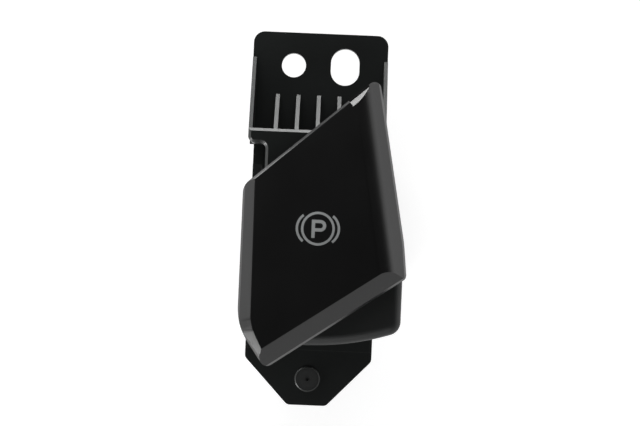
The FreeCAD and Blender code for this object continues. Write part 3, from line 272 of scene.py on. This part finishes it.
def edge_wear_and_highlight(tree, place):
    """A mask of the edges that are lightened partly for wear by handling and partly as a painted
    highlight, broken up by noise.
    """
    rounded = tree.nodes.new("ShaderNodeBevel")
    rounded.samples = WEAR_HIGHLIGHT_SAMPLES
    rounded.inputs["Radius"].default_value = WEAR_HIGHLIGHT_WIDTH
    geometry = tree.nodes.new("ShaderNodeNewGeometry")
    across = tree.nodes.new("ShaderNodeVectorMath")
    across.operation = "DOT_PRODUCT"
    tree.links.new(rounded.outputs["Normal"], across.inputs[0])
    tree.links.new(geometry.outputs["Normal"], across.inputs[1])
    edge = ramp(tree, across.outputs["Value"], 1.0, 0.0, WEAR_HIGHLIGHT_FULL, WEAR_HIGHLIGHT_NONE)
    broken = ramp(tree, noise(tree, place, WEAR_HIGHLIGHT_PATCH, 4, 0.6), WEAR_HIGHLIGHT_LEAST, 1.0, 0.3, 0.62)
    both = tree.nodes.new("ShaderNodeMath")
    both.operation = "MULTIPLY"
    tree.links.new(edge, both.inputs[0])
    tree.links.new(broken, both.inputs[1])
    return both.outputs["Value"]


def boss_highlight_patch(tree, place):
    """A mask of the dull moulded boss on the bracket's tab, whose top is painted lighter as a
    highlight.
    """
    offset = tree.nodes.new("ShaderNodeVectorMath")
    offset.operation = "DISTANCE"
    tree.links.new(place, offset.inputs[0])
    offset.inputs[1].default_value = BOSS_CENTRE
    return ramp(tree, offset.outputs["Value"], 1.0, 0.0, BOSS_RADIUS, BOSS_RADIUS * BOSS_FADE)


def moulded_plastic(name, colour, grain, depth, roughness, specular, worn_highlight):
    """Moulded plastic with a fine spark-eroded grain, uneven gloss, and edges lighter partly from wear
    by handling and partly as a painted highlight.
    """
    material, tree, shader, place = new_material(name)
    tint_noise = noise(tree, place, TINT_SIZE, 2)
    tint = ramp(tree, tint_noise, scaled(colour, TINT_LOW), scaled(colour, TINT_HIGH))
    gloss_noise = noise(tree, place, GLOSS_SIZE, 1.5)
    gloss = ramp(tree, gloss_noise, roughness - GLOSS_BELOW, roughness + GLOSS_ABOVE, 0.2, 0.8)
    if worn_highlight:
        # Edges painted lighter: partly wear, partly a painted highlight
        mask = edge_wear_and_highlight(tree, place)
        tint = mixed(tree, mask, tint, worn_highlight)
        gloss = mixed(tree, mask, gloss, roughness * WEAR_GLOSS)
    if name == BOSS_PLASTIC:
        mask = boss_highlight_patch(tree, place)
        # The boss's top painted lighter as a highlight, and dulled
        tint = mixed(tree, mask, tint, BOSS_HIGHLIGHT_BLACK)
        gloss = mixed(tree, mask, gloss, BOSS_ROUGHNESS)
    tree.links.new(tint, shader.inputs["Base Color"])
    tree.links.new(gloss, shader.inputs["Roughness"])
    shader.inputs["Specular IOR Level"].default_value = specular
    bump(tree, shader, noise(tree, place, grain, 2, 0.6), depth)
    return material


def metal(name, colour, roughness):
    """Plated or drawn metal with fine marks."""
    material, tree, shader, place = new_material(name)
    tint_noise = noise(tree, place, METAL_TINT_SIZE)
    tint = ramp(tree, tint_noise, scaled(colour, METAL_TINT_LOW), scaled(colour, METAL_TINT_HIGH))
    tree.links.new(tint, shader.inputs["Base Color"])
    shader.inputs["Metallic"].default_value = 1.0
    gloss_noise = noise(tree, place, METAL_GLOSS_SIZE)
    gloss = ramp(tree, gloss_noise, roughness - METAL_GLOSS_BELOW, roughness + METAL_GLOSS_ABOVE)
    tree.links.new(gloss, shader.inputs["Roughness"])
    bump(tree, shader, noise(tree, place, METAL_MARK_SIZE), METAL_MARK_DEPTH)
    return material


def clear_plastic(name):
    """Polished clear plastic with a faint cloudiness."""
    material, tree, shader, place = new_material(name)
    shader.inputs["Transmission Weight"].default_value = 1.0
    shader.inputs["IOR"].default_value = CLEAR_IOR
    tint = ramp(tree, noise(tree, place, CLEAR_TINT_SIZE), *CLEAR_TINTS)
    tree.links.new(tint, shader.inputs["Base Color"])
    gloss = ramp(tree, noise(tree, place, CLEAR_GLOSS_SIZE), *CLEAR_GLOSSES)
    tree.links.new(gloss, shader.inputs["Roughness"])
    return material


def dress(node, material):
    """Gives a carried-over piece its material."""
    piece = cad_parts[node]
    piece.data.materials.clear()
    piece.data.materials.append(material)


def cap_plane(wanted):
    """The paddle cap's largest flat surface that looks in a wanted way, as a point and a normal."""
    areas = {}
    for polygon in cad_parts["lever_cap"].data.polygons:
        if wanted(polygon.normal):
            key = tuple(round(n, 3) for n in polygon.normal)
            areas.setdefault(key, [0.0, polygon])[0] += polygon.area
    polygon = max(areas.values(), key=lambda entry: entry[0])[1]
    return polygon.center.copy(), polygon.normal.normalized()


FACE_POINT, FACE_NORMAL = cap_plane(lambda n: n.z > 0.9)


def plane_corner(planes):
    """The point where three planes meet."""
    rows = Matrix([normal for _, normal in planes])
    return rows.inverted() @ Vector([point.dot(normal) for point, normal in planes])


def cut_away(form, point, normal):
    """Takes off what lies past a plane and closes the cut."""
    geom = form.verts[:] + form.edges[:] + form.faces[:]
    cut = bmesh.ops.bisect_plane(
        form, geom=geom, dist=WELD, plane_co=point, plane_no=normal, clear_outer=True
    )["geom_cut"]
    rim = [item for item in cut if isinstance(item, bmesh.types.BMEdge)]
    bmesh.ops.edgeloop_fill(form, edges=rim)


def paddle_cap(material):
    """The paddle cap with its left bevel rolled softly into the corner facet below it."""
    left = cap_plane(lambda n: n.x < -0.4 and abs(n.y) < 0.15 and n.z > 0.5)
    facet = cap_plane(lambda n: n.x < -0.3 and n.y < -0.18 and n.z > 0.5)
    corner = plane_corner([(FACE_POINT, FACE_NORMAL), left, facet])
    half = left[1].angle(facet[1]) / 2
    middle = (left[1] + facet[1]).normalized()
    axis = corner - middle * (BEND_R / math.cos(half))
    form = bmesh.new()
    form.from_mesh(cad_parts["lever_cap"].data)
    bmesh.ops.remove_doubles(form, verts=form.verts[:], dist=WELD)
    for i in range(BEND_CUTS):
        normal = left[1].slerp(facet[1], (i + 0.5) / BEND_CUTS)
        cut_away(form, axis + normal * BEND_R, normal)
    vertices = [vertex.co.copy() for vertex in form.verts]
    form.verts.index_update()
    faces = [[vertex.index for vertex in face.verts] for face in form.faces]
    sharp = []
    form.normal_update()
    for edge in form.edges:
        if not edge.is_manifold or edge.calc_face_angle() > SHARP_ANGLE:
            sharp.append({vertex.index for vertex in edge.verts})
    form.free()
    mesh = bpy.data.meshes.new("paddle_cap")
    mesh.from_pydata(vertices, [], faces)
    mesh.shade_smooth()
    for edge in mesh.edges:
        edge.use_edge_sharp = set(edge.vertices) in sharp
    mesh.materials.append(material)
    piece = bpy.data.objects.new("paddle_cap", mesh)
    bpy.context.scene.collection.objects.link(piece)
    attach(piece, "lever")
    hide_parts("lever_cap")


def on_face(x, y, lift):
    """The point of the face above a place given from the sign's centre, lifted off it."""
    place = Vector((SIGN_X + x, SIGN_Y + y, 0))
    height = (FACE_POINT - place).dot(FACE_NORMAL) / FACE_NORMAL.z
    return place + Vector((0, 0, height)) + FACE_NORMAL * lift


def strip_piece(name, inner, outer, closed, material):
    """A thin raised strip on the face between two lines of equal length."""
    vertices = []
    for lift in (-SIGN_THICK, SIGN_THICK):
        for line in (inner, outer):
            vertices += [on_face(x, y, lift) for x, y in line]
    n = len(inner)
    low_in, low_out, top_in, top_out = (list(range(k * n, (k + 1) * n)) for k in range(4))
    faces = []
    for i in range(n if closed else n - 1):
        j = (i + 1) % n
        faces.append((top_in[i], top_out[i], top_out[j], top_in[j]))
        faces.append((low_in[j], low_out[j], low_out[i], low_in[i]))
        faces.append((low_out[i], low_out[j], top_out[j], top_out[i]))
        faces.append((low_in[j], low_in[i], top_in[i], top_in[j]))
    if not closed:
        faces.append((low_in[0], low_out[0], top_out[0], top_in[0]))
        faces.append((low_out[-1], low_in[-1], top_in[-1], top_out[-1]))
    mesh = bpy.data.meshes.new(name)
    mesh.from_pydata(vertices, [], faces)
    mesh.materials.append(material)
    piece = bpy.data.objects.new(name, mesh)
    bpy.context.scene.collection.objects.link(piece)
    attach(piece, "lever")


def arc_points(radius, start, end, shift_x=0.0, steps=SIGN_STEPS):
    """Points along an arc about the sign's centre."""
    angles = [start + (end - start) * i / (steps - 1) for i in range(steps)]
    return [(shift_x + radius * math.cos(a), radius * math.sin(a)) for a in angles]


def sign_pieces(material):
    """The ring, its two brackets and the letter of the parking brake sign."""
    half = SIGN_LINE / 2
    turn = 2 * math.pi * (1 - 1 / SIGN_STEPS)
    ring_in = arc_points(SIGN_RING_R - half, 0, turn)
    ring_out = arc_points(SIGN_RING_R + half, 0, turn)
    strip_piece("sign_ring", ring_in, ring_out, True, material)
    for name, middle, side in (("sign_arc_right", 0, 1), ("sign_arc_left", math.pi, -1)):
        limits = (middle - SIGN_ARC_HALF_ANGLE, middle + SIGN_ARC_HALF_ANGLE)
        shift = side * SIGN_ARC_SHIFT
        inner = arc_points(SIGN_ARC_R - half, *limits, shift)
        outer = arc_points(SIGN_ARC_R + half, *limits, shift)
        strip_piece(name, inner, outer, False, material)
    stem_right = LETTER_LEFT + LETTER_STROKE
    stem_in = [(stem_right, LETTER_BOTTOM), (stem_right, LETTER_TOP)]
    stem_out = [(LETTER_LEFT, LETTER_BOTTOM), (LETTER_LEFT, LETTER_TOP)]
    strip_piece("sign_letter_stem", stem_out, stem_in, False, material)
    bowl_r = (LETTER_TOP - LETTER_WAIST) / 2
    middle_y = (LETTER_TOP + LETTER_WAIST) / 2
    bend_x = LETTER_RIGHT - bowl_r

    def bowl(radius):
        round_part = arc_points(radius, math.pi / 2, -math.pi / 2, bend_x, SIGN_STEPS // 2)
        line = [(x, y + middle_y) for x, y in round_part]
        return [(stem_right, middle_y + radius)] + line + [(stem_right, middle_y - radius)]

    strip_piece("sign_letter_bowl", bowl(bowl_r - LETTER_STROKE), bowl(bowl_r), False, material)


def panel(name, azimuth, elevation, distance, width, height, radiance):
    """A soft panel round the object, given by its direction and how bright it looks."""
    lamp = bpy.data.lights.new(name, "AREA")
    lamp.shape = "RECTANGLE"
    lamp.size = width
    lamp.size_y = height
    lamp.energy = math.pi * width * height * radiance
    holder = bpy.data.objects.new(name, lamp)
    turn, lift = math.radians(azimuth), math.radians(elevation)
    away = Vector((math.cos(turn) * math.cos(lift), math.sin(turn) * math.cos(lift), math.sin(lift)))
    holder.location = Vector(STUDIO_MIDDLE) + away * distance
    holder.rotation_euler = (-away).to_track_quat("-Z", "Y").to_euler()
    bpy.context.scene.collection.objects.link(holder)


def studio_white(name, near, far):
    """White paint that camera, mirror and see-through rays find evenly lit, with its shadows kept."""
    material, tree, shader, place = new_material(name)
    grain = ramp(tree, noise(tree, place, FLOOR_GRAIN), scaled(FLOOR_WHITE, 0.985), FLOOR_WHITE)
    tree.links.new(grain, shader.inputs["Base Color"])
    shader.inputs["Roughness"].default_value = FLOOR_ROUGHNESS
    shader.inputs["Specular IOR Level"].default_value = 0.0
    spread = tree.nodes.new("ShaderNodeVectorMath")
    spread.operation = "LENGTH"
    tree.links.new(place, spread.inputs[0])
    level = ramp(tree, spread.outputs["Value"], near, far, GLOW_START, GLOW_END)
    path = tree.nodes.new("ShaderNodeLightPath")
    seen = path.outputs["Is Camera Ray"]
    for kind in ("Is Glossy Ray", "Is Transmission Ray"):
        either = tree.nodes.new("ShaderNodeMath")
        either.operation = "MAXIMUM"
        tree.links.new(seen, either.inputs[0])
        tree.links.new(path.outputs[kind], either.inputs[1])
        seen = either.outputs["Value"]
    glow = tree.nodes.new("ShaderNodeMath")
    glow.operation = "MULTIPLY"
    tree.links.new(seen, glow.inputs[0])
    tree.links.new(level, glow.inputs[1])
    shader.inputs["Emission Color"].default_value = (1, 1, 1, 1)
    tree.links.new(glow.outputs["Value"], shader.inputs["Emission Strength"])
    return material


def studio():
    """Floor, round backdrop, lamps and world."""
    floor_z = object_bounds()[0][2]
    turns = [2 * math.pi * i / WALL_STEPS for i in range(WALL_STEPS)]
    ring = [(FLOOR_RADIUS * math.cos(a), FLOOR_RADIUS * math.sin(a)) for a in turns]
    low = [(x, y, floor_z) for x, y in ring]
    high = [(x, y, floor_z + WALL_HEIGHT) for x, y in ring]
    sides = [(i, (i + 1) % WALL_STEPS) for i in range(WALL_STEPS)]
    forms = {
        "floor": (low, [tuple(range(WALL_STEPS))], GLOW_NEAR),
        "backdrop": (low + high, [(j, i, i + WALL_STEPS, j + WALL_STEPS) for i, j in sides], GLOW_FAR),
    }
    for name, (vertices, faces, near) in forms.items():
        mesh = bpy.data.meshes.new(name)
        mesh.from_pydata(vertices, [], faces)
        mesh.materials.append(studio_white(name + "_white", near, GLOW_FAR))
        piece = bpy.data.objects.new(name, mesh)
        bpy.context.scene.collection.objects.link(piece)
    for name, *values in PANELS:
        panel(name, *values)
    world = bpy.data.worlds.new("studio_world")
    world.use_nodes = True
    world.node_tree.nodes["Background"].inputs["Color"].default_value = (1, 1, 1, 1)
    world.node_tree.nodes["Background"].inputs["Strength"].default_value = WORLD_LEVEL
    bpy.context.scene.world = world


def camera():
    """The photograph's camera, which looks straight down with a slight roll."""
    data = bpy.data.cameras.new("camera")
    data.sensor_width = SENSOR_WIDTH
    data.lens = SENSOR_WIDTH * CAMERA_HEIGHT / (IMAGE_WIDTH * METRES_PER_PIXEL)
    data.clip_start = CLIP_START
    data.clip_end = CLIP_END
    holder = bpy.data.objects.new("camera", data)
    holder.location = (*CAMERA_FOOT, CAMERA_HEIGHT)
    holder.rotation_euler = (0, 0, CAMERA_ROLL)
    bpy.context.scene.collection.objects.link(holder)
    bpy.context.scene.camera = holder


def materials():
    """Makes the materials, gives each piece of the source its own and returns them by name."""
    made = {name: moulded_plastic(name, *values) for name, values in PLASTICS.items()}
    made.update({name: metal(name, *values) for name, values in METALS.items()})
    made["clear_plastic"] = clear_plastic("clear_plastic")
    for node, name in DRESSED.items():
        dress(node, made[name])
    return made


finishes = materials()
paddle_cap(finishes["paint_black"])
sign_pieces(finishes["sign_grey"])
studio()
camera()
bpy.context.scene.view_settings.view_transform = "Standard"
